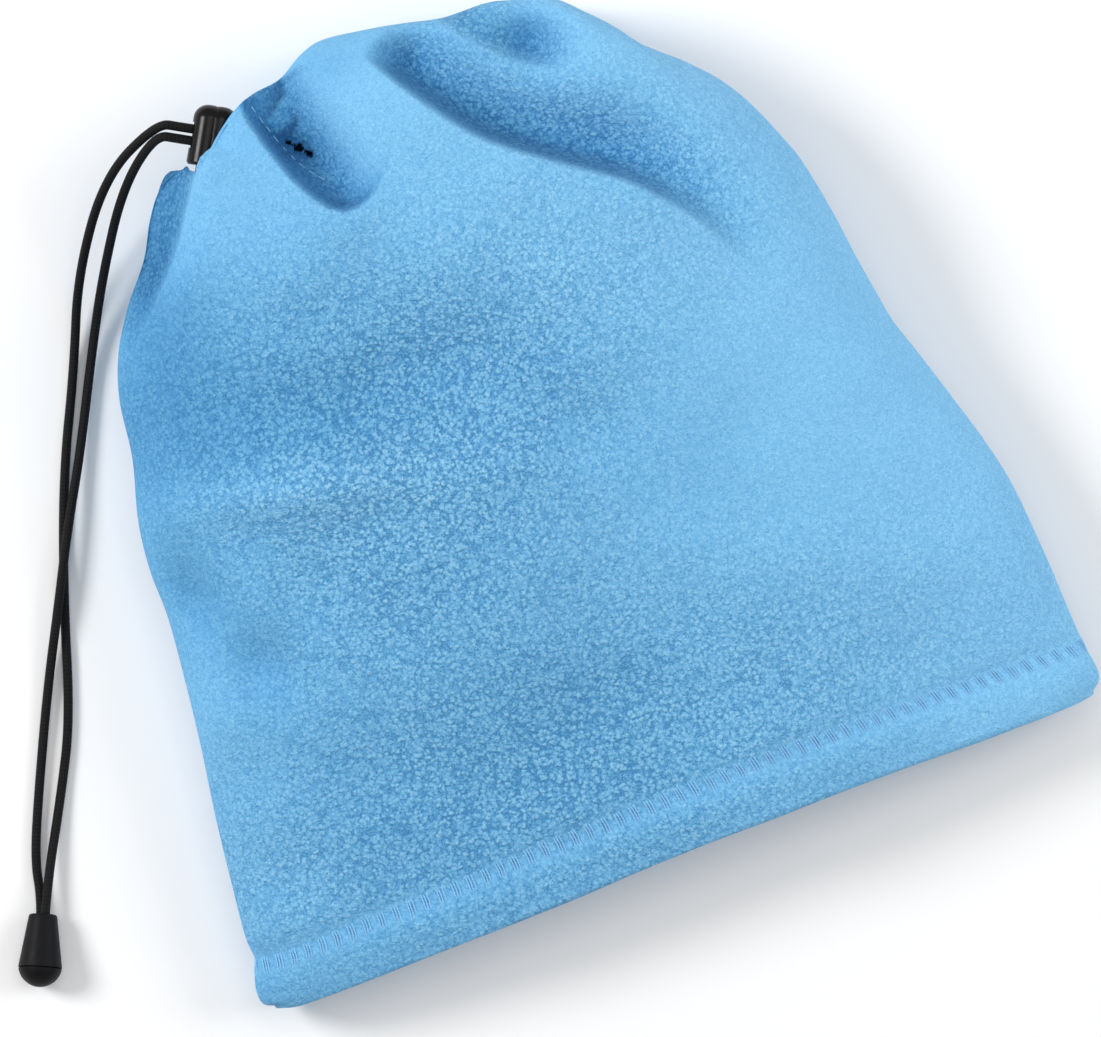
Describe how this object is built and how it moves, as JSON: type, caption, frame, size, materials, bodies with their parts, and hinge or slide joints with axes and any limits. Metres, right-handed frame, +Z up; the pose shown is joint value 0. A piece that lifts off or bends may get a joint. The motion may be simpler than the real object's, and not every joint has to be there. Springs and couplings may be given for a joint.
{
  "type": "neck gaiter",
  "caption": "Soft fleece neck tube with a turned, stitched hem, a top gathered by an elastic drawcord, a spring cord lock and a bell-shaped cord end.",
  "frame": {"origin": "under the middle of the gaiter's box, without the hanging cord, on the surface its back lies on", "axes": "+X along the hem towards the side away from the drawcord, +Y from the hem to the gathered top, +Z up out of the front"},
  "size_m": [0.3329, 0.2666, 0.0602],
  "materials": {
    "fleece": "brushed pile",
    "thread": "spun thread",
    "cord": "braided",
    "cord_end": "satin moulded",
    "lock": "smooth moulded",
    "spring": "bare wire"
  },
  "bodies": {
    "gaiter": {"fleece_tube": "fleece", "hem_stitching": "thread", "casing_stitching": "thread", "back_seam_stitching": "thread", "cord_exit_stitching_a": "thread", "cord_exit_stitching_b": "thread", "drawcord_loop": "cord", "drawcord_tail_a": "cord", "drawcord_tail_b": "cord", "cord_knot": "cord", "cord_end_bell": "cord_end"},
    "lock": {"cord_lock_barrel": "lock", "cord_lock_spring": "spring"},
    "plunger": {"cord_lock_plunger": "lock"},
    "plug": {"cord_end_plug": "cord_end"}
  },
  "joints": [
    {"name": "cord_lock_slide", "type": "slide", "parent": "gaiter", "child": "lock", "axis": [-0.866, 0.5, 0], "range_m": [0, 0.005]},
    {"name": "plunger_press", "type": "slide", "parent": "lock", "child": "plunger", "axis": [0.5, 0.866, 0], "range_m": [0, 0.0026], "stiffness_N_per_m": 700, "springref_m": -0.002, "deforming": ["cord_lock_spring"]},
    {"name": "plug_pull", "type": "slide", "parent": "gaiter", "child": "plug", "axis": [-0.3958, -0.906, 0.15], "range_m": [0, 0.008]}
  ]
}
